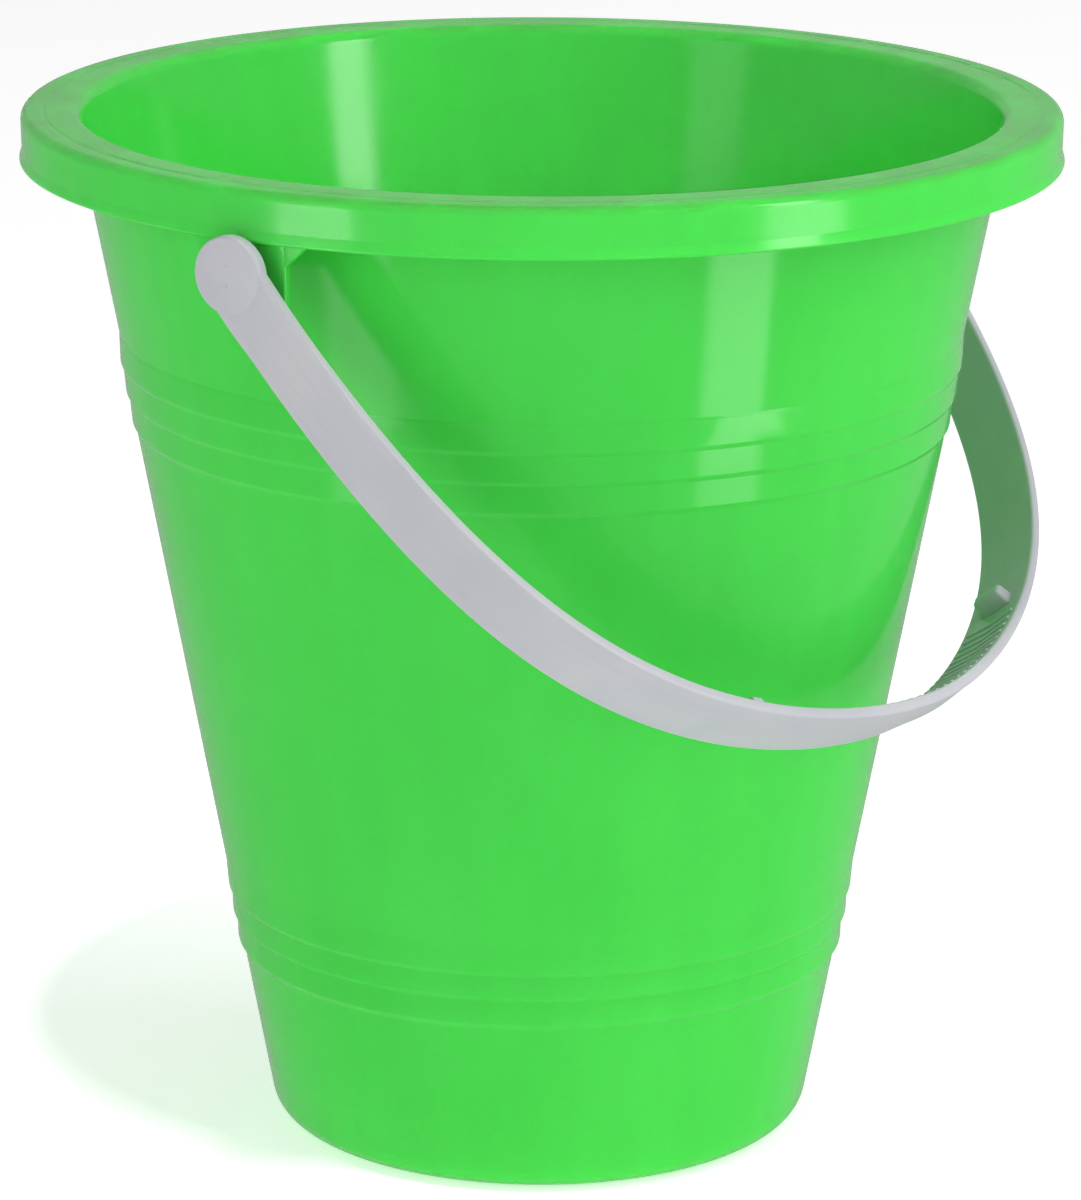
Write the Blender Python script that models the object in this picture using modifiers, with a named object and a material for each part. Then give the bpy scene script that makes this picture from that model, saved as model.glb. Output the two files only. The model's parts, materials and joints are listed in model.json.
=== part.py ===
# Sand bucket: a tapered plastic pail with a turned-over rim, and a bail handle that snaps into two ears
# under the rim. Metres, +Z up. The origin is the centre of the base, and the handle turns about a line
# along X at PIVOT_HEIGHT. The handle is modelled where it hangs in front of the pail, towards -Y.

import math

import bmesh
import bpy
from mathutils import Matrix, Vector

MM = 0.001

# Pail
HEIGHT = 181.7 * MM
RIM_RADIUS = 89.55 * MM
LIP_RADIUS = 90.0 * MM
LIP_HEIGHT = 173.1 * MM
LIP_FLARE = 1.9 * MM
SKIRT_THICKNESS = 1.5 * MM
RIM_THICKNESS = 1.6 * MM
RIM_CORNER = 1.5 * MM
MOUTH_CORNER = 2.2 * MM
WALL = 1.5 * MM
FLOOR = 1.8 * MM
BASE_CORNER = 5.6 * MM
CONE_BASE_RADIUS = 46.9 * MM
CONE_SLOPE = 0.1875
UPPER_CONE_BASE_RADIUS = 45.7 * MM
UPPER_CONE_SLOPE = 0.1926
TURN_STEPS = 72
CORNER_STEPS = 3

# Stepped ridges: (top of the land, bottom of the land, how far the land's bottom stands out of the cone)
LOWER_RIDGES = ((47.3, 42.5, 0.50), (41.7, 37.7, 0.65), (36.9, 32.6, 0.72))
UPPER_RIDGES = ((142.2, 137.8, 0.36), (137.0, 132.5, 0.45), (131.7, 127.1, 0.46))
LOWER_RIDGE_END = 31.6 * MM
UPPER_RIDGE_END = 126.2 * MM

# Ears: flat tabs that hang from the rim in line with the skirt, with a gusset up each side
PIVOT_HEIGHT = 168.1 * MM
EAR_FACE = 88.4 * MM
EAR_THICKNESS = 1.7 * MM
EAR_HALF_WIDTH = 8.0 * MM
EAR_BOTTOM = 161.0 * MM
EAR_CORNER = 2.0 * MM
GUSSET_WIDTH = 3.8 * MM
GUSSET_BOTTOM = 169.8 * MM
PIVOT_HOLE_RADIUS = 2.9 * MM
CIRCLE_STEPS = 32

# Handle
HANG_ANGLE = math.radians(51.9)
HANDLE_REACH = 91.95 * MM
KNOB_RADIUS = 6.4 * MM
KNOB_BACK = 90.8 * MM
KNOB_FACE = 93.4 * MM
KNOB_EDGE = 0.5 * MM
PEG_RADIUS = 2.6 * MM
PEG_HEAD_RADIUS = 3.4 * MM
PEG_HEAD_TIP = 2.3 * MM
PEG_HEAD_LENGTH = 2.4 * MM
PEG_GAP = 0.3 * MM
STRAP_WIDTH = 11.1 * MM
STRAP_WIDENING = 0.17
STRAP_EDGE = 1.7 * MM
STRAP_RIDGE = 0.40 * MM
STRAP_VALLEY = 0.30 * MM
STRAP_ROUND = 0.35 * MM
STRAP_TILT = math.radians(3.0)
STRAP_STATIONS = 48
ARCH_WIDTH = (92.99 * MM, 2.07 * MM, -4.67 * MM, 1.01 * MM)
ARCH_DEPTH = (115.1 * MM, 0.33 * MM, -2.88 * MM)
ARCH_BOW = 9.1 * MM
LUG_ANGLE = math.radians(60.0)
LUG_WIDTH = 6.4 * MM
LUG_LENGTH = 3.8 * MM
LUG_HEIGHT = 3.0 * MM
LUG_DRAFT = 0.78

BODY_COLOUR = (0.058, 0.665, 0.075, 1.0)
HANDLE_COLOUR = (0.60, 0.59, 0.63, 1.0)


def clear_scene():
    for item in list(bpy.data.objects):
        bpy.data.objects.remove(item, do_unlink=True)


def make_collection(name):
    collection = bpy.data.collections.new(name)
    bpy.context.scene.collection.children.link(collection)
    return collection


def plastic(name, colour, roughness):
    material = bpy.data.materials.new(name)
    material.use_nodes = True
    shader = material.node_tree.nodes["Principled BSDF"]
    shader.inputs["Base Color"].default_value = colour
    shader.inputs["Roughness"].default_value = roughness
    shader.inputs["Metallic"].default_value = 0.0
    material.diffuse_color = colour
    return material


def add_object(name, data, collection):
    item = bpy.data.objects.new(name, data)
    collection.objects.link(item)
    return item


def mesh_from(builder, name):
    mesh = bpy.data.meshes.new(name)
    cage = bmesh.new()
    builder(cage)
    bmesh.ops.recalc_face_normals(cage, faces=cage.faces)
    cage.to_mesh(mesh)
    cage.free()
    return mesh


def cutter(name, builder, place=None):
    # A body that is only joined to or cut from another one.
    item = add_object(name, mesh_from(builder, name), cutters)
    item.hide_render = True
    item.display_type = "WIRE"
    if place is not None:
        item.matrix_world = place
    return item


def boolean(target, tool, operation):
    step = target.modifiers.new(tool.name, "BOOLEAN")
    step.operation = operation
    step.solver = "EXACT"
    step.object = tool
    return step


def arc(centre_r, centre_z, radius, start, end):
    points = []
    for step in range(CORNER_STEPS + 1):
        angle = math.radians(start + (end - start) * step / CORNER_STEPS)
        points.append((centre_r + radius * math.cos(angle), centre_z + radius * math.sin(angle)))
    return points


def lower_cone(z):
    return CONE_BASE_RADIUS + CONE_SLOPE * z


def upper_cone(z):
    return UPPER_CONE_BASE_RADIUS + UPPER_CONE_SLOPE * z


def ridge_points(ridges, end, cone_above):
    # Each land falls nearly straight, then a short slope steps back in to the cone.
    points = []
    for index, (top, bottom, proud) in enumerate(ridges):
        cone = cone_above if index == 0 else lower_cone
        top_radius = cone(top * MM) + (0.0 if index == 0 else 0.05 * MM)
        points.append((top_radius, top * MM))
        points.append((lower_cone(bottom * MM) + proud * MM, bottom * MM))
    points.append((lower_cone(end), end))
    return points


def pail_outline():
    # (radius, height) points: up the inside from the floor's centre, over the rim, and down the outside.
    inner_slope = (upper_cone(HEIGHT) - lower_cone(0.0)) / HEIGHT

    def inner(z):
        return lower_cone(0.0) - WALL + inner_slope * z

    inner_corner = BASE_CORNER - WALL
    points = [(0.0, FLOOR)]
    points += arc(inner(FLOOR) - inner_corner, FLOOR + inner_corner, inner_corner, -90, -10)
    mouth_z = HEIGHT - MOUTH_CORNER
    points += arc(inner(mouth_z) + MOUTH_CORNER, mouth_z, MOUTH_CORNER, 170, 90)
    points += arc(RIM_RADIUS - RIM_CORNER, HEIGHT - RIM_CORNER, RIM_CORNER, 90, 0)
    points.append((RIM_RADIUS - 0.15 * MM, LIP_HEIGHT + LIP_FLARE))
    points.append((LIP_RADIUS, LIP_HEIGHT))
    skirt_inside = RIM_RADIUS - SKIRT_THICKNESS
    points.append((skirt_inside + 0.2 * MM, LIP_HEIGHT))
    points.append((skirt_inside, HEIGHT - RIM_THICKNESS - 0.8 * MM))
    points.append((skirt_inside - 0.8 * MM, HEIGHT - RIM_THICKNESS))
    under_rim = HEIGHT - RIM_THICKNESS
    points.append((upper_cone(under_rim) + 0.8 * MM, under_rim))
    points.append((upper_cone(under_rim - 0.8 * MM), under_rim - 0.8 * MM))
    points += ridge_points(UPPER_RIDGES, UPPER_RIDGE_END, upper_cone)
    points += ridge_points(LOWER_RIDGES, LOWER_RIDGE_END, lower_cone)
    points += arc(lower_cone(BASE_CORNER) - BASE_CORNER, BASE_CORNER, BASE_CORNER, -10, -90)
    points.append((0.0, 0.0))
    return points


def make_pail(name, material):
    outline = bpy.data.meshes.new(name)
    points = pail_outline()
    edges = [(index, index + 1) for index in range(len(points) - 1)]
    outline.from_pydata([(radius, 0.0, z) for radius, z in points], edges, [])
    pail = add_object(name, outline, parts)
    outline.materials.append(material)
    turn = pail.modifiers.new("Turn", "SCREW")
    turn.axis = "Z"
    turn.steps = TURN_STEPS
    turn.render_steps = TURN_STEPS
    turn.use_merge_vertices = True
    turn.merge_threshold = 0.00001
    return pail


def ear_tab(cage):
    # The tab's outline, seen along X, pushed back through the tab's thickness.
    half = EAR_HALF_WIDTH
    top = HEIGHT - RIM_THICKNESS / 2
    side = arc(half - EAR_CORNER, EAR_BOTTOM + EAR_CORNER, EAR_CORNER, -90, 0)
    side += [(half, GUSSET_BOTTOM), (half + GUSSET_WIDTH, LIP_HEIGHT), (half + GUSSET_WIDTH, top)]
    outline = side + [(-y, z) for y, z in reversed(side)]
    front = [cage.verts.new((EAR_FACE, y, z)) for y, z in outline]
    back = [cage.verts.new((EAR_FACE - EAR_THICKNESS, y, z)) for y, z in outline]
    cage.faces.new(front)
    cage.faces.new(back)
    for index in range(len(outline)):
        after = (index + 1) % len(outline)
        cage.faces.new((front[index], front[after], back[after], back[index]))


def pivot_hole(cage):
    bmesh.ops.create_cone(
        cage,
        cap_ends=True,
        segments=CIRCLE_STEPS,
        radius1=PIVOT_HOLE_RADIUS,
        radius2=PIVOT_HOLE_RADIUS,
        depth=3 * EAR_THICKNESS,
        matrix=along_x(EAR_FACE - EAR_THICKNESS / 2, PIVOT_HEIGHT),
    )


def along_x(x, z):
    # Places a piece that is modelled along Z so that it lies along X.
    return Matrix.Translation((x, 0.0, z)) @ Matrix.Rotation(math.pi / 2, 4, "Y")


def add_ears(pail):
    for side, turn in (("right", 0.0), ("left", math.pi)):
        place = Matrix.Rotation(turn, 4, "Z")
        boolean(pail, cutter("ear_tab_" + side, ear_tab, place), "UNION")
        boolean(pail, cutter("ear_hole_" + side, pivot_hole, place), "DIFFERENCE")


def arch_point(angle):
    # A point on the strap's middle line, in the handle's own frame: the legs run along -Y from the pivots,
    # and the middle of the strap bows up along +Z.
    x = sum(size * math.cos((2 * k + 1) * angle) for k, size in enumerate(ARCH_WIDTH))
    y = sum(size * math.sin((2 * k + 1) * angle) for k, size in enumerate(ARCH_DEPTH))
    x *= HANDLE_REACH / sum(ARCH_WIDTH)
    return Vector((x, -y, ARCH_BOW * math.sin(angle) * (0.18 + 0.82 * math.sin(angle))))


def strap_section():
    # Across the strap is Y and outwards is X: a soft ridge outside and a shallow valley inside.
    half = STRAP_WIDTH / 2
    edge = STRAP_EDGE / 2
    soft = STRAP_ROUND
    points = [
        (edge - soft, half),
        (edge, half - soft),
        (edge + STRAP_RIDGE, 0.0),
        (edge, soft - half),
        (edge - soft, -half),
        (soft - edge, -half),
        (-edge, soft - half),
        (STRAP_VALLEY - edge, 0.0),
        (-edge, half - soft),
        (soft - edge, half),
    ]
    curve = bpy.data.curves.new("strap_section", "CURVE")
    curve.dimensions = "2D"
    line = curve.splines.new("POLY")
    line.points.add(len(points) - 1)
    line.use_cyclic_u = True
    for point, (x, y) in zip(line.points, points):
        point.co = (x, y, 0.0, 1.0)
    section = add_object("strap_section", curve, cutters)
    section.hide_render = True
    section.display_type = "WIRE"
    return section


def strap_mesh():
    curve = bpy.data.curves.new("strap_line", "CURVE")
    curve.dimensions = "3D"
    curve.twist_mode = "Z_UP"
    curve.bevel_mode = "OBJECT"
    curve.bevel_object = strap_section()
    curve.use_fill_caps = True
    line = curve.splines.new("POLY")
    line.points.add(STRAP_STATIONS)
    for index, point in enumerate(line.points):
        angle = math.pi * index / STRAP_STATIONS
        point.co = (*arch_point(angle), 1.0)
        point.radius = 1.0 + STRAP_WIDENING * math.sin(angle)
        point.tilt = -STRAP_TILT
    rail = add_object("strap_line", curve, cutters)
    bpy.context.view_layer.update()
    graph = bpy.context.evaluated_depsgraph_get()
    mesh = bpy.data.meshes.new_from_object(rail.evaluated_get(graph))
    cage = bmesh.new()
    cage.from_mesh(mesh)
    bmesh.ops.remove_doubles(cage, verts=cage.verts, dist=0.00001)
    bmesh.ops.recalc_face_normals(cage, faces=cage.faces)
    cage.to_mesh(mesh)
    cage.free()
    bpy.data.objects.remove(rail, do_unlink=True)
    return mesh


def disc(radius_back, radius_front, back, front):
    # A disc or short cone on the pivot line, from x = back out to x = front.
    def build(cage):
        bmesh.ops.create_cone(
            cage,
            cap_ends=True,
            segments=CIRCLE_STEPS,
            radius1=radius_back,
            radius2=radius_front,
            depth=front - back,
            matrix=along_x((back + front) / 2, 0.0),
        )

    return build


def lug(side):
    # A small drafted block on the strap's inner face, near one end of the grip.
    angle = LUG_ANGLE if side > 0 else math.pi - LUG_ANGLE
    step = 0.01
    along = (arch_point(angle + step) - arch_point(angle - step)).normalized()
    up = Vector((0.0, 0.0, 1.0))
    inwards = along.cross(up).normalized()
    if inwards.y < 0:
        inwards = -inwards
    across = along.cross(inwards)
    root = arch_point(angle)

    def build(cage):
        bmesh.ops.create_cube(cage, size=1.0)
        for corner in cage.verts:
            outer = corner.co.z > 0
            draft = LUG_DRAFT if outer else 1.0
            reach = STRAP_EDGE / 2 + LUG_HEIGHT if outer else 0.0
            offset = along * corner.co.x * LUG_LENGTH * draft
            offset = offset + across * corner.co.y * LUG_WIDTH * draft
            corner.co = root + offset + inwards * reach

    return build


def make_handle(name, material):
    mesh = strap_mesh()
    handle = add_object(name, mesh, parts)
    mesh.materials.append(material)
    handle.location = (0.0, 0.0, PIVOT_HEIGHT)
    handle.rotation_euler = (HANG_ANGLE, 0.0, 0.0)
    bpy.context.view_layer.update()
    head_front = EAR_FACE - EAR_THICKNESS - PEG_GAP
    head_back = head_front - PEG_HEAD_LENGTH
    middle = (KNOB_BACK + KNOB_FACE) / 2
    for side, turn in (("right", 0.0), ("left", math.pi)):
        place = handle.matrix_world @ Matrix.Rotation(turn, 4, "Z")
        knob = cutter("knob_" + side, disc(KNOB_RADIUS, KNOB_RADIUS, KNOB_BACK, KNOB_FACE), place)
        rounding = knob.modifiers.new("Rounding", "BEVEL")
        rounding.width = KNOB_EDGE
        rounding.segments = 2
        rounding.limit_method = "ANGLE"
        boolean(handle, knob, "UNION")
        shaft = disc(PEG_RADIUS, PEG_RADIUS, head_front - PEG_HEAD_LENGTH / 3, middle)
        boolean(handle, cutter("peg_" + side, shaft, place), "UNION")
        head = disc(PEG_HEAD_TIP, PEG_HEAD_RADIUS, head_back, head_front)
        boolean(handle, cutter("peg_head_" + side, head, place), "UNION")
    for side, sign in (("right", 1), ("left", -1)):
        boolean(handle, cutter("lug_" + side, lug(sign), handle.matrix_world), "UNION")
    return handle


def shade(item):
    # Round stretches smooth, corners sharp.
    item.data.shade_smooth()
    item.data.set_sharp_from_angle(angle=math.radians(35))


clear_scene()
parts = make_collection("Sand bucket")
cutters = make_collection("Cutters")
bucket = make_pail("bucket", plastic("green plastic", BODY_COLOUR, 0.22))
add_ears(bucket)
bail = make_handle("handle", plastic("white plastic", HANDLE_COLOUR, 0.38))
shade(bail)
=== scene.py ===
import json
import math

import bpy
from mathutils import Matrix, Vector


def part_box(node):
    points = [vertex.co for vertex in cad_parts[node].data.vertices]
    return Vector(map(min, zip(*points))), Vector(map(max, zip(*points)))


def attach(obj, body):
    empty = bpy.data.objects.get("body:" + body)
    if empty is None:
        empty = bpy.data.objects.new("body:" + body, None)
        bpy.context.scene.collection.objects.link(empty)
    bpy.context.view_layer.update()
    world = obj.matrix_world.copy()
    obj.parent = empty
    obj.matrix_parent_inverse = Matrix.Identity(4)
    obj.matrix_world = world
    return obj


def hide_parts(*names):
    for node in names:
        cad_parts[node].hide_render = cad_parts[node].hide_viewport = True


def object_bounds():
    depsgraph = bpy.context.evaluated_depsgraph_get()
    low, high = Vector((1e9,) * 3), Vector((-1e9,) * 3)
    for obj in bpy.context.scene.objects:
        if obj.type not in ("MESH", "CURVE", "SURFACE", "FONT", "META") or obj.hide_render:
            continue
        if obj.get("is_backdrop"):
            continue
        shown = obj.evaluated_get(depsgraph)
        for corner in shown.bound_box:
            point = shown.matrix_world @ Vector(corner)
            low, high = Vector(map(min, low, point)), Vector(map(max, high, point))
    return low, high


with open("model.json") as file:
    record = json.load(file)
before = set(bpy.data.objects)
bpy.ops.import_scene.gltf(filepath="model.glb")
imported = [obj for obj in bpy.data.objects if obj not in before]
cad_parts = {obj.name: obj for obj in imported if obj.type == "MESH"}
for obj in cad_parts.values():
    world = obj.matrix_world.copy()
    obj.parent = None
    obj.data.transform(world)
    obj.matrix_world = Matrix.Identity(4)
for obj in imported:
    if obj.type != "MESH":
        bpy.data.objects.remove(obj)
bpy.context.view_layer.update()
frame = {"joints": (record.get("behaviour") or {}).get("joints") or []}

mm = 0.001
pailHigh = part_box("bucket")[1]
topHeight = pailHigh.z
lipRadius = pailHigh.y
pivotHeight = frame["joints"][0]["pos_m"][2]  # the line that the handle turns about
print("frame loaded, rim at", round(topHeight / mm, 1), "mm")


# small helpers

def deselectAll():
    if bpy.context.object and bpy.context.object.mode != "OBJECT":
        bpy.ops.object.mode_set(mode="OBJECT")
    bpy.ops.object.select_all(action="DESELECT")


def makeActive(piece):
    deselectAll()
    bpy.context.view_layer.objects.active = piece
    piece.select_set(True)


def editAll(piece):
    makeActive(piece)
    bpy.ops.object.mode_set(mode="EDIT")
    bpy.ops.mesh.select_all(action="SELECT")


def leaveEdit():
    bpy.ops.object.mode_set(mode="OBJECT")


def pickFaces(piece, wanted):
    # selects the faces whose centre and normal pass the test
    makeActive(piece)
    bpy.ops.object.mode_set(mode="EDIT")
    bpy.ops.mesh.select_all(action="DESELECT")
    bpy.ops.mesh.select_mode(type="FACE")
    bpy.ops.object.mode_set(mode="OBJECT")
    for face in piece.data.polygons:
        face.select = wanted(face.center, face.normal)
    bpy.ops.object.mode_set(mode="EDIT")


def pickEdges(piece, wanted):
    # selects the edges whose two ends pass the test
    makeActive(piece)
    bpy.ops.object.mode_set(mode="EDIT")
    bpy.ops.mesh.select_all(action="DESELECT")
    bpy.ops.mesh.select_mode(type="EDGE")
    bpy.ops.object.mode_set(mode="OBJECT")
    corners = piece.data.vertices
    for edge in piece.data.edges:
        start, end = (corners[index].co for index in edge.vertices)
        edge.select = wanted(start, end)
    bpy.ops.object.mode_set(mode="EDIT")


def newPiece(name):
    piece = bpy.context.object
    piece.name = name
    piece.data.name = name
    return piece


def applyPlace(piece):
    makeActive(piece)
    bpy.ops.object.transform_apply(location=True, rotation=True, scale=True)


def cleanUp(piece, distance=0.000005):
    editAll(piece)
    bpy.ops.mesh.remove_doubles(threshold=distance)
    bpy.ops.mesh.normals_make_consistent(inside=False)
    leaveEdit()


def joinBody(target, tool, operation="UNION"):
    # an exact Boolean, applied at once; the tool is used up
    makeActive(target)
    step = target.modifiers.new(tool.name, "BOOLEAN")
    step.operation = operation
    step.solver = "EXACT"
    step.object = tool
    bpy.ops.object.modifier_apply(modifier=step.name)
    bpy.data.objects.remove(tool, do_unlink=True)


def smoothBy(piece, degrees):
    makeActive(piece)
    bpy.ops.object.shade_smooth_by_angle(angle=math.radians(degrees), keep_sharp_edges=False)


# the pail

pail = {
    "segments": 192,
    "flatRadius": 20 * mm,  # the flat middle of the floor, where the turned path starts and ends
    "wall": 1.5 * mm,
    "floor": 1.8 * mm,
    "baseCorner": 5.6 * mm,
    "coneBase": 46.9 * mm,
    "coneSlope": 0.1875,
    "upperConeBase": 45.7 * mm,
    "upperConeSlope": 0.1926,
    "rimRadius": lipRadius - 0.45 * mm,
    "rimThickness": 1.6 * mm,
    "rimCorner": 1.5 * mm,
    "mouthCorner": 2.2 * mm,
    "skirtThickness": 1.5 * mm,
    "lipHeight": 173.1 * mm,
    "lipFlare": 1.9 * mm,
    "groove": 85.6 * mm,  # a faint ring pressed into the rim's top
    # top of a land, its bottom, and how far its bottom stands out of the cone
    "upperRidges": ((142.2, 137.8, 0.36), (137.0, 132.5, 0.45), (131.7, 127.1, 0.46)),
    "upperRidgeEnd": 126.2 * mm,
    "lowerRidges": ((47.3, 42.5, 0.50), (41.7, 37.7, 0.65), (36.9, 32.6, 0.72)),
    "lowerRidgeEnd": 31.6 * mm,
    "ridgeSoftness": 0.35 * mm,
    "landLift": 0.05 * mm,
    "topStep": 0.14 * mm,
    "topStepHeight": 0.5 * mm,
}


def lowerCone(z):
    return pail["coneBase"] + pail["coneSlope"] * z


def upperCone(z):
    return pail["upperConeBase"] + pail["upperConeSlope"] * z


def softPath(corners):
    # rounds each (radius, height, rounding) corner of a path with a short arc
    points = []
    for index, (r, z, rounding) in enumerate(corners):
        here = Vector((r, z))
        if rounding == 0.0:
            points.append(here)
            continue
        before = (Vector(corners[index - 1][:2]) - here).normalized()
        after = (Vector(corners[index + 1][:2]) - here).normalized()
        half = before.angle(after) / 2
        reach = rounding / math.tan(half)
        centre = here + (before + after).normalized() * rounding / math.sin(half)
        first = here + before * reach - centre
        last = here + after * reach - centre
        steps = max(2, int((math.pi - 2 * half) / 0.17) + 1)
        for step in range(steps + 1):
            ray = first.slerp(last, step / steps)
            points.append(centre + ray.normalized() * rounding)
    return points


def ridgeCorners(ridges, end, coneAbove, soft):
    # down the outside: each land falls nearly straight, then a short slope steps in
    corners = []
    for index, (top, bottom, proud) in enumerate(ridges):
        cone = coneAbove if index == 0 else lowerCone
        lift = pail["landLift"]
        if index == 0 and coneAbove is upperCone:
            # the topmost land starts with a small step outwards
            above = top * mm + pail["topStepHeight"]
            corners.append((cone(above), above, soft))
            lift = pail["topStep"]
        corners.append((cone(top * mm) + lift, top * mm, soft))
        corners.append((lowerCone(bottom * mm) + proud * mm, bottom * mm, soft * 1.4))
    corners.append((lowerCone(end), end, soft * 4))
    return corners


def pailPath():
    # from the underside up the outside, over the rim and down the inside to the floor
    p = pail
    soft = p["ridgeSoftness"]
    under = topHeight - p["rimThickness"]
    skirtInside = p["rimRadius"] - p["skirtThickness"]
    outside = ridgeCorners(p["upperRidges"], p["upperRidgeEnd"], upperCone, soft)
    outside += ridgeCorners(p["lowerRidges"], p["lowerRidgeEnd"], lowerCone, soft)
    innerSlope = (upperCone(topHeight) - lowerCone(0.0)) / topHeight
    innerBase = lowerCone(0.0) - p["wall"]
    corners = [(p["flatRadius"], 0.0, 0.0), (lowerCone(0.0), 0.0, p["baseCorner"])]
    corners += reversed(outside)
    corners += [
        (upperCone(under), under, 0.9 * mm),
        (skirtInside, under, 0.8 * mm),
        (skirtInside + 0.1 * mm, p["lipHeight"] + 1.2 * mm, 0.5 * mm),
        (skirtInside + 0.3 * mm, p["lipHeight"], 0.3 * mm),
        (lipRadius, p["lipHeight"], 0.45 * mm),
        (p["rimRadius"] - 0.15 * mm, p["lipHeight"] + p["lipFlare"], 0.9 * mm),
        (p["rimRadius"], topHeight, p["rimCorner"]),
        (p["groove"] + 0.5 * mm, topHeight, 0.3 * mm),
        (p["groove"], topHeight - 0.14 * mm, 0.3 * mm),
        (p["groove"] - 0.5 * mm, topHeight, 0.3 * mm),
        (innerBase + innerSlope * topHeight, topHeight, p["mouthCorner"]),
        (innerBase + innerSlope * p["floor"], p["floor"], p["baseCorner"] - p["wall"]),
        (p["flatRadius"], p["floor"], 0.0),
    ]
    return softPath(corners)


def makePail():
    path = pailPath()
    deselectAll()
    bpy.ops.mesh.primitive_circle_add(
        vertices=pail["segments"], radius=path[0].x, fill_type="NGON", location=(0, 0, 0)
    )
    piece = newPiece("pailShell")
    editAll(piece)
    for last, here in zip(path, path[1:]):
        rise = here.y - last.y
        grow = here.x / last.x
        bpy.ops.mesh.extrude_region_move(TRANSFORM_OT_translate={"value": (0, 0, rise)})
        bpy.ops.transform.resize(value=(grow, grow, 1))
    bpy.ops.mesh.select_all(action="SELECT")
    bpy.ops.mesh.normals_make_consistent(inside=False)
    leaveEdit()
    return piece


gate = {
    "radius": 3.2 * mm,
    "slope": 0.5 * mm,
    "sink": 0.45 * mm,
    "nub": 1.1 * mm,
    "nubSlope": 0.15 * mm,
    "nubRise": 0.3 * mm,
}


def sinkGate(piece):
    # the moulding gate under the base: a small dimple with a cut-off nub inside it
    pickFaces(piece, lambda centre, normal: normal.z < -0.9 and centre.length < mm)
    bpy.ops.mesh.inset(thickness=pail["flatRadius"] - gate["radius"], depth=0)
    bpy.ops.mesh.inset(thickness=gate["slope"], depth=-gate["sink"])
    bpy.ops.mesh.inset(thickness=gate["radius"] - gate["slope"] - gate["nub"], depth=0)
    bpy.ops.mesh.inset(thickness=gate["nubSlope"], depth=gate["nubRise"])
    leaveEdit()


ear = {
    "face": 88.4 * mm,
    "thickness": 1.7 * mm,
    "halfWidth": 8.0 * mm,
    "bottom": 161.0 * mm,
    "corner": 2.0 * mm,
    "gusset": 3.8 * mm,
    "gussetBottom": 169.8 * mm,
    "gussetInset": 0.05 * mm,  # keeps a gusset's faces just off the tab's
    "gussetEdge": 0.2 * mm,
    "holeRadius": 2.9 * mm,
    "edge": 0.3 * mm,
}


def addBlock(low, high):
    deselectAll()
    middle = (Vector(low) + Vector(high)) / 2
    size = Vector(high) - Vector(low)
    bpy.ops.mesh.primitive_cube_add(size=1, location=middle, scale=size)
    block = newPiece("block")
    applyPlace(block)
    return block


def bevelAll(piece, width, segments):
    editAll(piece)
    bpy.ops.mesh.bevel(offset=width, segments=segments, affect="EDGES")
    leaveEdit()


def addTab(side):
    # the flat ear that hangs from the rim, with its two lower corners rounded
    top = topHeight - pail["rimThickness"] / 2
    e = ear
    inside = e["face"] - e["thickness"]
    tab = addBlock((inside, -e["halfWidth"], e["bottom"]), (e["face"], e["halfWidth"], top))
    pickEdges(tab, lambda a, b: abs(a.y - b.y) < mm and max(a.z, b.z) < e["bottom"] + mm)
    bpy.ops.mesh.bevel(offset=e["corner"], segments=6, affect="EDGES")
    leaveEdit()
    pickEdges(tab, lambda a, b: abs(a.x - b.x) < 0.01 * mm and max(a.z, b.z) < top + mm)
    bpy.ops.mesh.bevel(offset=e["edge"], segments=3, affect="EDGES")
    leaveEdit()
    for acrossSign in (1, -1):
        near = acrossSign * (e["halfWidth"] - mm)
        far = acrossSign * (e["halfWidth"] + e["gusset"])
        bottom = e["gussetBottom"] - mm
        low = (inside + e["gussetInset"], min(near, far), bottom)
        high = (e["face"] - e["gussetInset"], max(near, far), top - 0.1 * mm)
        gusset = addBlock(low, high)

        def onFarBottom(a, b):
            out = min(a.y * acrossSign, b.y * acrossSign) > far * acrossSign - mm
            return out and max(a.z, b.z) < bottom + mm

        pickEdges(gusset, onFarBottom)
        bpy.ops.transform.translate(value=(0, 0, pail["lipHeight"] - bottom))
        leaveEdit()
        bevelAll(gusset, ear["gussetEdge"], 2)
        joinBody(tab, gusset)
    if side < 0:
        tab.rotation_euler.z = math.pi
        applyPlace(tab)
    return tab


def addEars(piece):
    for side in (1, -1):
        joinBody(piece, addTab(side))
        deselectAll()
        bpy.ops.mesh.primitive_cylinder_add(
            vertices=48,
            radius=ear["holeRadius"],
            depth=3 * ear["thickness"],
            location=(side * (ear["face"] - ear["thickness"] / 2), 0, pivotHeight),
            rotation=(0, math.pi / 2, 0),
        )
        joinBody(piece, newPiece("earHole"), "DIFFERENCE")


pailShell = makePail()
sinkGate(pailShell)
addEars(pailShell)
cleanUp(pailShell)
smoothBy(pailShell, 32)
print("pail modelled,", len(pailShell.data.polygons), "faces")


# the handle

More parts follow.
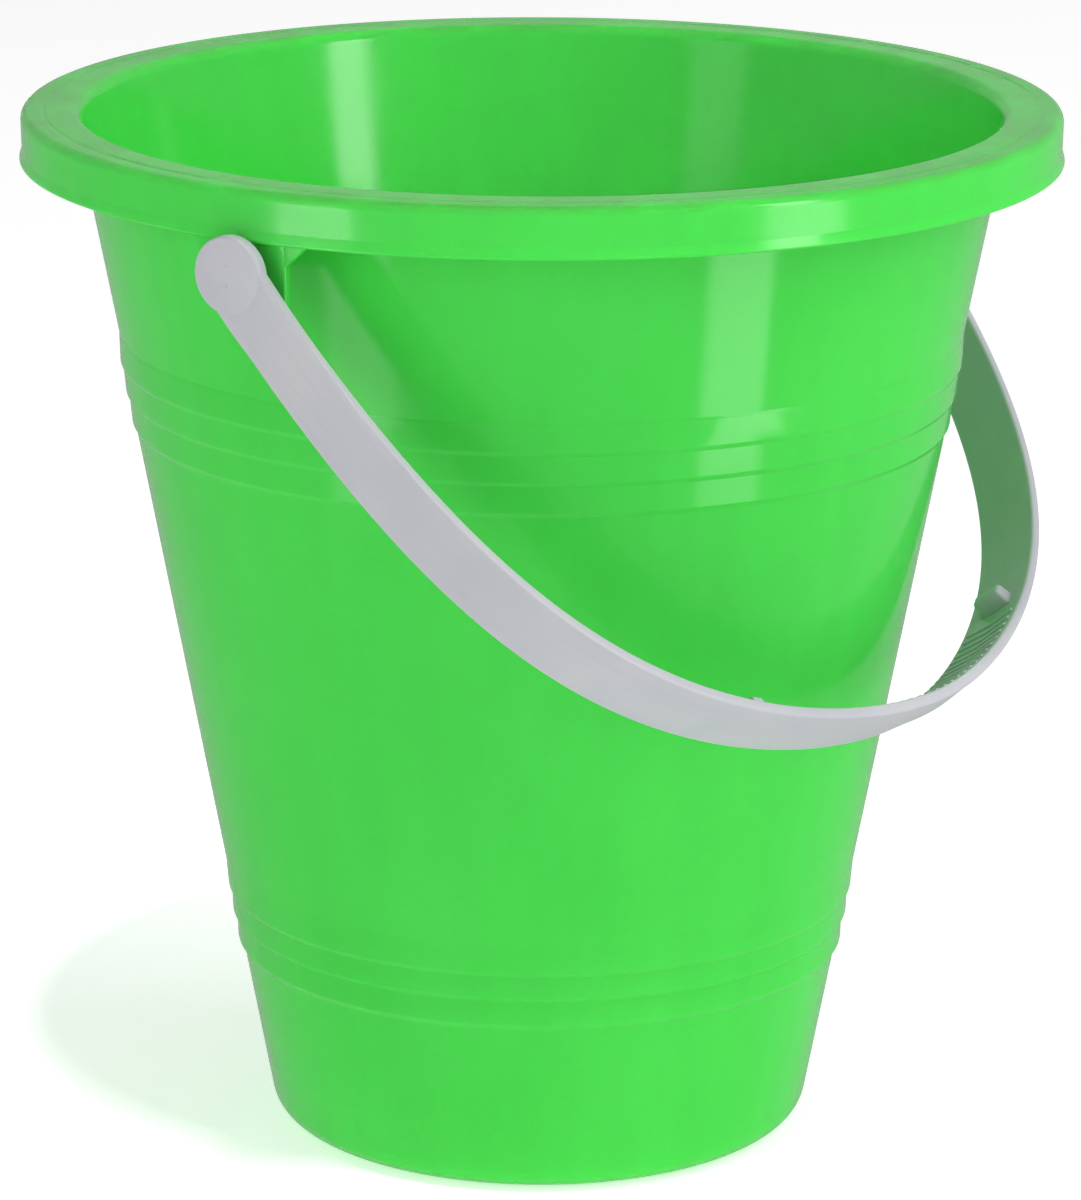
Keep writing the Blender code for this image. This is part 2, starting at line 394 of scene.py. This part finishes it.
handle = {
    "hangAngle": math.radians(51.9),
    "reach": 91.95 * mm,  # from the middle to the strap's middle line at each pivot
    "archWidth": (92.99, 2.07, -4.67, 1.01),
    "archDepth": (115.1, 0.33, -2.88),
    "bow": 9.1 * mm,
    "width": 11.1 * mm,
    "widening": 0.17,
    "edge": 1.7 * mm,
    "ridge": 0.54 * mm,
    "valley": 0.30 * mm,
    "rounding": 0.42 * mm,
    "tilt": math.radians(3.0),
    "tiltEase": 15 * mm,  # the tilt comes in over this length from each pivot
    "station": 0.9 * mm,
    "pastPivot": 2.5 * mm,  # how far the strap runs on behind each knob
    "flatPart": 0.42,  # of the width, either side of the middle
    "lead": 8.0 * mm,  # spare length of the bending curve before each pivot
}
grip = {"half": 40 * mm, "ribHeight": 0.24 * mm, "ribTaper": 0.95}
knob = {
    "radius": 6.4 * mm,
    "back": -1.15 * mm,
    "face": 1.33 * mm,
    "edge": 0.45 * mm,
    "overStrap": 0.04 * mm,
    "sideFill": 0.36 * mm,  # how far the strap's sides rise beside the knob
    "fillEase": 9 * mm,
    "markReach": 1.65 * mm,  # from the knob's middle to each pin mark
    "markBall": 0.36 * mm,
    "markLift": 0.22 * mm,
}
lug = {
    "fromApex": 44 * mm,
    "width": 6.0 * mm,
    "length": 3.4 * mm,
    "height": 2.6 * mm,
    "draft": 0.8,
    "edge": 0.55 * mm,
}
peg = {
    "radius": 2.6 * mm,
    "headRadius": 3.4 * mm,
    "tipRadius": 2.3 * mm,
    "headLength": 2.4 * mm,
    "headEdge": 0.2 * mm,
    "gap": 0.3 * mm,
}


def archPoint(angle):
    # the strap's middle line in the handle's own frame: legs along -Y, bowed up along +Z
    x = sum(size * math.cos((2 * k + 1) * angle) for k, size in enumerate(handle["archWidth"]))
    y = sum(size * math.sin((2 * k + 1) * angle) for k, size in enumerate(handle["archDepth"]))
    x *= handle["reach"] / sum(handle["archWidth"])
    bow = handle["bow"] * math.sin(angle) * (0.18 + 0.82 * math.sin(angle))
    return Vector((x, -y * mm, bow))


def makeGuide():
    # the curve that the straight strap is bent along, and its length
    steps = 240
    line = [archPoint(math.pi * step / steps) for step in range(steps + 1)]
    lead = (line[0] - line[1]).normalized() * handle["lead"]
    tail = (line[-1] - line[-2]).normalized() * handle["lead"]
    points = [line[0] + lead] + line + [line[-1] + tail]
    length = sum((b - a).length for a, b in zip(line, line[1:]))
    data = bpy.data.curves.new("bendGuide", "CURVE")
    data.dimensions = "3D"
    data.twist_mode = "Z_UP"
    spline = data.splines.new("POLY")
    spline.points.add(len(points) - 1)
    run = -handle["lead"]
    for index, point in enumerate(points):
        along = min(max(run, 0.0), length)
        spline.points[index].co = (*point, 1.0)
        spline.points[index].radius = 1.0 + handle["widening"] * math.sin(math.pi * along / length)
        ramp = min(1.0, along / handle["tiltEase"], (length - along) / handle["tiltEase"])
        spline.points[index].tilt = -handle["tilt"] * ramp * ramp * (3 - 2 * ramp)
        if index + 1 < len(points):
            run += (points[index + 1] - point).length
    guide = bpy.data.objects.new("bendGuide", data)
    bpy.context.scene.collection.objects.link(guide)
    return guide, length


def makeStrap(length):
    # modelled straight along X: Y is its thickness, with the outer face at +Y, and Z its width
    h = handle
    start = h["lead"] - h["pastPivot"]
    finish = h["lead"] + length + h["pastPivot"]
    step = h["station"]
    half = Vector((step / 2, h["edge"] / 2, h["width"] / 2))
    deselectAll()
    bpy.ops.mesh.primitive_cube_add(size=1, location=(start + half.x, 0, 0), scale=half * 2)
    strap = newPiece("bailHandle")
    applyPlace(strap)
    editAll(strap)
    for cut in (-h["flatPart"], 0.0, h["flatPart"]):
        bpy.ops.mesh.select_all(action="SELECT")
        bpy.ops.mesh.bisect(plane_co=(0, 0, cut * h["width"]), plane_no=(0, 0, 1))
    leaveEdit()
    for faceSign, lift in ((1, h["ridge"]), (-1, h["valley"])):

        def onMiddle(a, b):
            along = abs(a.x - b.x) > step / 2 and abs(a.z) + abs(b.z) < mm
            return along and min(a.y * faceSign, b.y * faceSign) > 0

        pickEdges(strap, onMiddle)
        bpy.ops.transform.translate(value=(0, lift, 0))
        leaveEdit()
    corner = half.z - 0.01 * mm
    pickEdges(strap, lambda a, b: min(abs(a.z), abs(b.z)) > corner and abs(a.x - b.x) > step / 2)
    bpy.ops.mesh.bevel(offset=h["rounding"], segments=3, affect="EDGES")
    leaveEdit()
    pickFaces(strap, lambda centre, normal: normal.x > 0.9)
    for count in range(int((finish - start) / step) - 1):
        bpy.ops.mesh.extrude_region_move(TRANSFORM_OT_translate={"value": (step, 0, 0)})
    leaveEdit()
    return strap


def keepInView(piece, wanted):
    # edit mode with every corner hidden but those that pass the test, and none selected
    makeActive(piece)
    bpy.ops.object.mode_set(mode="EDIT")
    bpy.ops.mesh.reveal(select=False)
    bpy.ops.mesh.select_all(action="DESELECT")
    bpy.ops.mesh.select_mode(type="VERT")
    leaveEdit()
    for corner in piece.data.vertices:
        corner.select = wanted(corner.co)
    bpy.ops.object.mode_set(mode="EDIT")
    bpy.ops.mesh.hide(unselected=True)
    bpy.ops.mesh.select_all(action="DESELECT")
    leaveEdit()


def pickInView(piece, wanted):
    for corner in piece.data.vertices:
        corner.select = not corner.hide and wanted(corner.co)
    bpy.ops.object.mode_set(mode="EDIT")


def fillEnds(strap, length):
    # near each knob the outer face's sides rise and its ridge sinks, nearly level with the knob's face
    level = knob["face"] - knob["overStrap"]
    for pivot in (handle["lead"], handle["lead"] + length):
        keepInView(strap, lambda place: abs(place.z) > 0.3 * handle["width"] and place.y > 0.6 * mm)
        pickInView(strap, lambda place: abs(place.x - pivot) < 6 * mm)
        bpy.ops.transform.translate(
            value=(0, knob["sideFill"], 0),
            use_proportional_edit=True,
            proportional_edit_falloff="SMOOTH",
            proportional_size=knob["fillEase"],
        )
        leaveEdit()
        keepInView(strap, lambda place: abs(place.z) < 0.1 * mm and place.y > mm)
        pickInView(strap, lambda place: abs(place.x - pivot) < 7 * mm)
        bpy.ops.transform.resize(
            value=(1, 0, 1),
            center_override=(0, level, 0),
            use_proportional_edit=True,
            proportional_edit_falloff="SMOOTH",
            proportional_size=knob["fillEase"],
        )
        bpy.ops.mesh.reveal(select=False)
        leaveEdit()


def cutGrip(strap, middle):
    # fine ribs across the inner face, one station wide and two apart
    first = handle["lead"] - handle["pastPivot"]
    edge = handle["flatPart"] * handle["width"]

    def onRib(centre, normal):
        count = int((centre.x - first) / handle["station"])
        near = abs(centre.x - middle) < grip["half"]
        return near and count % 3 == 0 and normal.y < -0.8 and abs(centre.z) < edge

    pickFaces(strap, onRib)
    bpy.ops.mesh.extrude_region_move(TRANSFORM_OT_translate={"value": (0, -grip["ribHeight"], 0)})
    bpy.ops.transform.resize(value=(1.0, 1.0, grip["ribTaper"]))
    leaveEdit()


def addLugs(strap, middle):
    # the two drafted finger stops at the ends of the grip
    for side in (1, -1):
        x = middle + side * lug["fromApex"]
        low = (x - lug["length"] / 2, -handle["edge"] / 2 - lug["height"], -lug["width"] / 2)
        high = (x + lug["length"] / 2, 0, lug["width"] / 2)
        block = addBlock(low, high)
        pickFaces(block, lambda centre, normal: normal.y < -0.9)
        bpy.ops.transform.resize(value=(lug["draft"], 1.0, lug["draft"]))
        bpy.ops.mesh.select_all(action="SELECT")
        bpy.ops.mesh.bevel(offset=lug["edge"], segments=4, affect="EDGES")
        leaveEdit()
        joinBody(strap, block)


def addKnobs(strap, length):
    # a round boss at each pivot, a little wider than the strap, with two moulding pin marks
    hang = handle["hangAngle"]
    upright = Vector((-math.sin(hang), 0, math.cos(hang))) * knob["markReach"]
    for x, legSign in ((handle["lead"], 1), (handle["lead"] + length, -1)):
        deselectAll()
        depth = knob["face"] - knob["back"]
        bpy.ops.mesh.primitive_cylinder_add(
            vertices=72,
            radius=knob["radius"],
            depth=depth,
            location=(x, (knob["face"] + knob["back"]) / 2, 0),
            rotation=(math.pi / 2, 0, 0),
        )
        boss = newPiece("boss")
        applyPlace(boss)
        pickEdges(boss, lambda a, b: abs(a.y - b.y) < 0.01 * mm)
        bpy.ops.mesh.bevel(offset=knob["edge"], segments=4, affect="EDGES")
        leaveEdit()
        joinBody(strap, boss)
        for end in (1, -1):
            deselectAll()
            bpy.ops.mesh.primitive_uv_sphere_add(
                segments=20,
                ring_count=10,
                radius=knob["markBall"],
                location=(x + legSign * end * upright.x, knob["face"] + knob["markLift"], end * upright.z),
            )
            joinBody(strap, newPiece("pinMark"), "DIFFERENCE")


def bendStrap(strap, guide):
    makeActive(strap)
    bend = strap.modifiers.new("Bend", "CURVE")
    bend.object = guide
    bend.deform_axis = "POS_X"
    bpy.ops.object.modifier_apply(modifier=bend.name)
    bpy.data.objects.remove(guide, do_unlink=True)


def addPegs(strap):
    # a peg behind each knob, with a snap head that sits behind the ear's plate
    headFront = ear["face"] - ear["thickness"] - peg["gap"]
    headBack = headFront - peg["headLength"]
    knobMiddle = handle["reach"]
    for side in (1, -1):
        turn = (0, side * math.pi / 2, 0)
        stemBack = headFront - peg["headLength"] / 3
        deselectAll()
        bpy.ops.mesh.primitive_cylinder_add(
            vertices=48,
            radius=peg["radius"],
            depth=knobMiddle - stemBack,
            location=(side * (knobMiddle + stemBack) / 2, 0, 0),
            rotation=turn,
        )
        joinBody(strap, newPiece("pegStem"))
        deselectAll()
        bpy.ops.mesh.primitive_cone_add(
            vertices=48,
            radius1=peg["tipRadius"],
            radius2=peg["headRadius"],
            depth=peg["headLength"],
            location=(side * (headFront + headBack) / 2, 0, 0),
            rotation=turn,
        )
        head = newPiece("pegHead")
        editAll(head)
        bpy.ops.mesh.bevel(offset=peg["headEdge"], segments=2, affect="EDGES")
        leaveEdit()
        joinBody(strap, head)


def markAlong(strap):
    # a UV map with the distance along the strap in u and across it in v, in metres
    layer = strap.data.uv_layers.new(name="alongStrap")
    for loop in strap.data.loops:
        place = strap.data.vertices[loop.vertex_index].co
        layer.data[loop.index].uv = (place.x, place.z)


bendGuide, strapLength = makeGuide()
strapMiddle = handle["lead"] + strapLength / 2
bailHandle = makeStrap(strapLength)
fillEnds(bailHandle, strapLength)
cutGrip(bailHandle, strapMiddle)
addLugs(bailHandle, strapMiddle)
addKnobs(bailHandle, strapLength)
cleanUp(bailHandle)
for oldLayer in list(bailHandle.data.uv_layers):
    bailHandle.data.uv_layers.remove(oldLayer)
markAlong(bailHandle)
bendStrap(bailHandle, bendGuide)
addPegs(bailHandle)
bailHandle.rotation_euler = (handle["hangAngle"], 0, 0)
bailHandle.location = (0, 0, pivotHeight)
applyPlace(bailHandle)
cleanUp(bailHandle)
smoothBy(bailHandle, 32)
print("handle modelled,", len(bailHandle.data.polygons), "faces, strap", round(strapLength / mm), "mm long")


# materials

def startMaterial(name):
    material = bpy.data.materials.new(name)
    material.use_nodes = True
    return material, material.node_tree.nodes, material.node_tree.links


def mixColour(nodes, links, factor, first, second, blend="MIX"):
    mix = nodes.new("ShaderNodeMix")
    mix.data_type = "RGBA"
    mix.blend_type = blend
    for socket, value in (("Factor_Float", factor), ("A_Color", first), ("B_Color", second)):
        target = next(item for item in mix.inputs if item.identifier == socket)
        if isinstance(value, bpy.types.NodeSocket):
            links.new(value, target)
        else:
            target.default_value = value
    return next(item for item in mix.outputs if item.identifier == "Result_Color")


def noise(nodes, links, vector, scale, detail=3.0, stretch=(1, 1, 1)):
    mapping = nodes.new("ShaderNodeMapping")
    mapping.inputs["Scale"].default_value = stretch
    links.new(vector, mapping.inputs["Vector"])
    node = nodes.new("ShaderNodeTexNoise")
    node.inputs["Scale"].default_value = scale
    node.inputs["Detail"].default_value = detail
    links.new(mapping.outputs["Vector"], node.inputs["Vector"])
    return node.outputs["Fac"]


def remap(nodes, links, value, low, high, newLow, newHigh):
    node = nodes.new("ShaderNodeMapRange")
    node.inputs["From Min"].default_value = low
    node.inputs["From Max"].default_value = high
    node.inputs["To Min"].default_value = newLow
    node.inputs["To Max"].default_value = newHigh
    links.new(value, node.inputs["Value"])
    return node.outputs["Result"]


def multiply(nodes, links, first, second):
    node = nodes.new("ShaderNodeMath")
    node.operation = "MULTIPLY"
    for index, value in enumerate((first, second)):
        if isinstance(value, bpy.types.NodeSocket):
            links.new(value, node.inputs[index])
        else:
            node.inputs[index].default_value = value
    return node.outputs["Value"]


def greyOf(nodes, links, value):
    node = nodes.new("ShaderNodeCombineColor")
    for channel in ("Red", "Green", "Blue"):
        links.new(value, node.inputs[channel])
    return node.outputs["Color"]


def stackBump(nodes, links, layers):
    # each layer is (height, strength, distance), the broad ones first
    normal = None
    for height, strength, distance in layers:
        bump = nodes.new("ShaderNodeBump")
        bump.inputs["Strength"].default_value = strength
        bump.inputs["Distance"].default_value = distance
        links.new(height, bump.inputs["Height"])
        if normal:
            links.new(normal, bump.inputs["Normal"])
        normal = bump.outputs["Normal"]
    return normal


greenLook = {
    "deep": (0.050, 0.585, 0.060, 1.0),
    "bright": (0.058, 0.630, 0.069, 1.0),
    # worn plastic on the rim's top, darkened further as painted shade for the dim light from above
    "scuffedAndShaded": (0.062, 0.455, 0.056, 1.0),
    "speck": (0.030, 0.200, 0.035, 1.0),
}


def greenPlastic():
    # glossy, slightly see-through polypropylene with cloudy patches and upright flow streaks
    material, nodes, links = startMaterial("greenPlastic")
    shader = nodes["Principled BSDF"]
    place = nodes.new("ShaderNodeTexCoord").outputs["Object"]
    cloud = noise(nodes, links, place, 22.0, 3.0)
    streak = noise(nodes, links, place, 1.0, 4.0, (150, 150, 9))
    cloudy = remap(nodes, links, cloud, 0.3, 0.7, 0.0, 1.0)
    colour = mixColour(nodes, links, cloudy, greenLook["deep"], greenLook["bright"])
    streakShade = remap(nodes, links, streak, 0.35, 0.65, 0.98, 1.015)
    colour = mixColour(nodes, links, 1.0, colour, greyOf(nodes, links, streakShade), "MULTIPLY")
    # the rim's top is scuffed in patches, and the same darker green is also painted shade there, standing
    # in for the little light that falls on it from above
    height = nodes.new("ShaderNodeSeparateXYZ")
    links.new(place, height.inputs["Vector"])
    wearAndShadeFrom = topHeight - pail["rimThickness"]
    rimWearAndShadeMask = remap(nodes, links, height.outputs["Z"], wearAndShadeFrom, topHeight - 0.3 * mm, 0.0, 1.0)
    patchy = remap(nodes, links, noise(nodes, links, place, 70.0, 5.0), 0.38, 0.62, 0.35, 0.95)
    colour = mixColour(nodes, links, multiply(nodes, links, rimWearAndShadeMask, patchy), colour, greenLook["scuffedAndShaded"])
    # a few dark specks in the plastic
    cells = nodes.new("ShaderNodeTexVoronoi")
    cells.inputs["Scale"].default_value = 55.0
    links.new(place, cells.inputs["Vector"])
    dot = remap(nodes, links, cells.outputs["Distance"], 0.016, 0.024, 1.0, 0.0)
    rare = nodes.new("ShaderNodeSeparateColor")
    links.new(cells.outputs["Color"], rare.inputs["Color"])
    few = remap(nodes, links, rare.outputs["Red"], 0.90, 0.91, 0.0, 0.75)
    colour = mixColour(nodes, links, multiply(nodes, links, dot, few), colour, greenLook["speck"])
    links.new(colour, shader.inputs["Base Color"])
    gloss = remap(nodes, links, noise(nodes, links, place, 45.0, 6.0), 0.3, 0.7, 0.10, 0.17)
    links.new(gloss, shader.inputs["Roughness"])
    shader.inputs["Subsurface Weight"].default_value = 0.35
    shader.inputs["Subsurface Radius"].default_value = (0.25, 1.0, 0.25)
    shader.inputs["Subsurface Scale"].default_value = 0.004
    shader.inputs["IOR"].default_value = 1.49
    wave = noise(nodes, links, place, 28.0, 2.0)
    peel = noise(nodes, links, place, 420.0, 2.0)
    scratch = noise(nodes, links, place, 1.0, 2.0, (900, 900, 60))
    layers = [(wave, 0.10, 0.0006), (scratch, 0.03, 0.0001), (peel, 0.03, 0.0001)]
    links.new(stackBump(nodes, links, layers), shader.inputs["Normal"])
    return material


whiteLook = {
    "cool": (0.445, 0.452, 0.497, 1.0),
    "warm": (0.492, 0.488, 0.518, 1.0),
    "dull": (0.405, 0.412, 0.435, 1.0),
}


def whitePlastic():
    # satin off-white polypropylene with flow lines that run along the strap
    material, nodes, links = startMaterial("whitePlastic")
    shader = nodes["Principled BSDF"]
    place = nodes.new("ShaderNodeTexCoord").outputs["Object"]
    along = nodes.new("ShaderNodeUVMap")
    along.uv_map = "alongStrap"
    cloud = noise(nodes, links, place, 60.0, 3.0)
    flow = noise(nodes, links, along.outputs["UV"], 1.0, 4.0, (28, 900, 1))
    cloudy = remap(nodes, links, cloud, 0.3, 0.7, 0.0, 1.0)
    colour = mixColour(nodes, links, cloudy, whiteLook["cool"], whiteLook["warm"])
    flowing = remap(nodes, links, flow, 0.45, 0.75, 0.0, 0.25)
    colour = mixColour(nodes, links, flowing, colour, whiteLook["dull"])
    links.new(colour, shader.inputs["Base Color"])
    gloss = remap(nodes, links, noise(nodes, links, place, 130.0, 5.0), 0.3, 0.7, 0.30, 0.44)
    links.new(gloss, shader.inputs["Roughness"])
    shader.inputs["Subsurface Weight"].default_value = 0.2
    shader.inputs["Subsurface Radius"].default_value = (1.0, 0.95, 1.0)
    shader.inputs["Subsurface Scale"].default_value = 0.002
    shader.inputs["IOR"].default_value = 1.49
    peel = noise(nodes, links, place, 600.0, 2.0)
    layers = [(flow, 0.06, 0.0001), (peel, 0.06, 0.0001)]
    links.new(stackBump(nodes, links, layers), shader.inputs["Normal"])
    return material


def giveMaterial(piece, material):
    piece.data.materials.clear()
    piece.data.materials.append(material)


giveMaterial(pailShell, greenPlastic())
giveMaterial(bailHandle, whitePlastic())
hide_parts("bucket")
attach(pailShell, "bucket")
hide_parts("handle")
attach(bailHandle, "handle")
print("materials given")


# the set: floor, lights and camera

studio = {
    "viewAngle": math.radians(32.7),  # the camera's turn from the pivot line
    "distance": 1.0,
    "height": 0.3669,
    "pitch": math.radians(15.311),
    "lens": 176.68,
    "roll": 0.0035,
}


def fromCamera(degrees, distance, height):
    # a place round the pail, with 0 degrees towards the camera and positive to its right
    turn = math.radians(degrees)
    towards = Vector((-math.cos(studio["viewAngle"]), -math.sin(studio["viewAngle"]), 0))
    right = Vector((math.sin(studio["viewAngle"]), -math.cos(studio["viewAngle"]), 0))
    place = (towards * math.cos(turn) + right * math.sin(turn)) * distance
    place.z = height
    return place


def addCamera():
    data = bpy.data.cameras.new("camera")
    data.lens = studio["lens"]
    data.sensor_width = 36
    data.clip_start = 0.01
    camera = bpy.data.objects.new("camera", data)
    bpy.context.scene.collection.objects.link(camera)
    camera.location = fromCamera(0, studio["distance"], studio["height"])
    aim = -fromCamera(0, 1.0, 0.0) * math.cos(studio["pitch"])
    aim.z = -math.sin(studio["pitch"])
    turn = aim.to_track_quat("-Z", "Y").to_matrix().to_4x4()
    turn = turn @ Matrix.Rotation(studio["roll"], 4, "Z")
    camera.rotation_euler = turn.to_euler()
    bpy.context.scene.camera = camera


def addFloor():
    deselectAll()
    bpy.ops.mesh.primitive_plane_add(size=12, location=(0, 0, -0.0002))
    floor = newPiece("studioFloor")
    material, nodes, links = startMaterial("paleFloor")
    shader = nodes["Principled BSDF"]
    shader.inputs["Base Color"].default_value = (0.97, 0.97, 0.97, 1)
    shader.inputs["Emission Color"].default_value = (1, 1, 1, 1)
    shader.inputs["Emission Strength"].default_value = 0.46
    shader.inputs["Roughness"].default_value = 0.8
    shader.inputs["Specular IOR Level"].default_value = 0.1
    giveMaterial(floor, material)
    floor.visible_glossy = False
    floor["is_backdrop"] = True


def addSoftbox(name, degrees, distance, height, width, tall, power, aimHeight=0.1):
    data = bpy.data.lights.new(name, "AREA")
    data.shape = "RECTANGLE"
    data.size = width
    data.size_y = tall
    data.energy = power
    box = bpy.data.objects.new(name, data)
    bpy.context.scene.collection.objects.link(box)
    box.location = fromCamera(degrees, distance, height)
    aim = Vector((0, 0, aimHeight)) - box.location
    box.rotation_euler = aim.to_track_quat("-Z", "Y").to_euler()
    box.visible_camera = False
    return box


def addFloorStrip(name, degrees, near, far, width, power):
    # a low light card that only shows as a soft upright gleam in the glossy wall
    data = bpy.data.lights.new(name, "AREA")
    data.shape = "RECTANGLE"
    data.size = far - near
    data.size_y = width
    data.energy = power
    strip = bpy.data.objects.new(name, data)
    bpy.context.scene.collection.objects.link(strip)
    strip.location = fromCamera(degrees, (near + far) / 2, 0.002)
    towards = fromCamera(degrees, 1.0, 0.0)
    strip.rotation_euler = (math.pi, 0, math.atan2(towards.y, towards.x))
    strip.visible_camera = False
    strip.visible_diffuse = False
    strip.visible_transmission = False
    return strip


def addWorld():
    world = bpy.data.worlds.new("studioWorld")
    world.use_nodes = True
    background = world.node_tree.nodes["Background"]
    background.inputs["Color"].default_value = (1.0, 1.0, 1.0, 1.0)
    background.inputs["Strength"].default_value = 0.40
    bpy.context.scene.world = world


addCamera()
addFloor()
addWorld()
# the large lights are kept out of the gloss, and the narrow ones make its highlights
key = addSoftbox("keyLeft", -48, 1.3, 0.46, 0.5, 0.7, 2.8)
key.visible_glossy = False
high = addSoftbox("highRight", 75, 1.1, 1.05, 1.1, 1.0, 9.0)
high.visible_glossy = False
down = addSoftbox("downInside", 0, 0.42, 1.5, 0.14, 0.14, 0.075, 0.17)  # a narrow beam into the mouth
down.data.spread = math.radians(10)
down.visible_glossy = False
addSoftbox("gleamLeft", -49, 1.3, 0.40, 0.34, 0.8, 0.7)
addSoftbox("fillRight", 54, 1.25, 0.44, 0.26, 0.8, 3.6)
for name, degrees, near, far, width, power in (  # the gleams mirrored by a glossy table
    ("gleamRightFaint", 47.8, 0.262, 0.30, 0.09, 0.009),
    ("gleamRightNear", 48.8, 0.30, 0.45, 0.097, 0.115),
    ("gleamRightMiddle", 54, 0.45, 0.62, 0.17, 0.27),
    ("gleamRightFar", 56, 0.62, 1.3, 0.34, 2.7),
    ("gleamLeftNear", -45, 0.24, 0.45, 0.10, 0.08),
    ("gleamLeftMiddle", -47, 0.45, 0.62, 0.15, 0.12),
    ("gleamLeftFar", -48, 0.62, 1.3, 0.33, 2.6),
):
    addFloorStrip(name, degrees, near, far, width, power)
bpy.context.scene.view_settings.view_transform = "Standard"
print("studio set")

low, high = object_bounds()
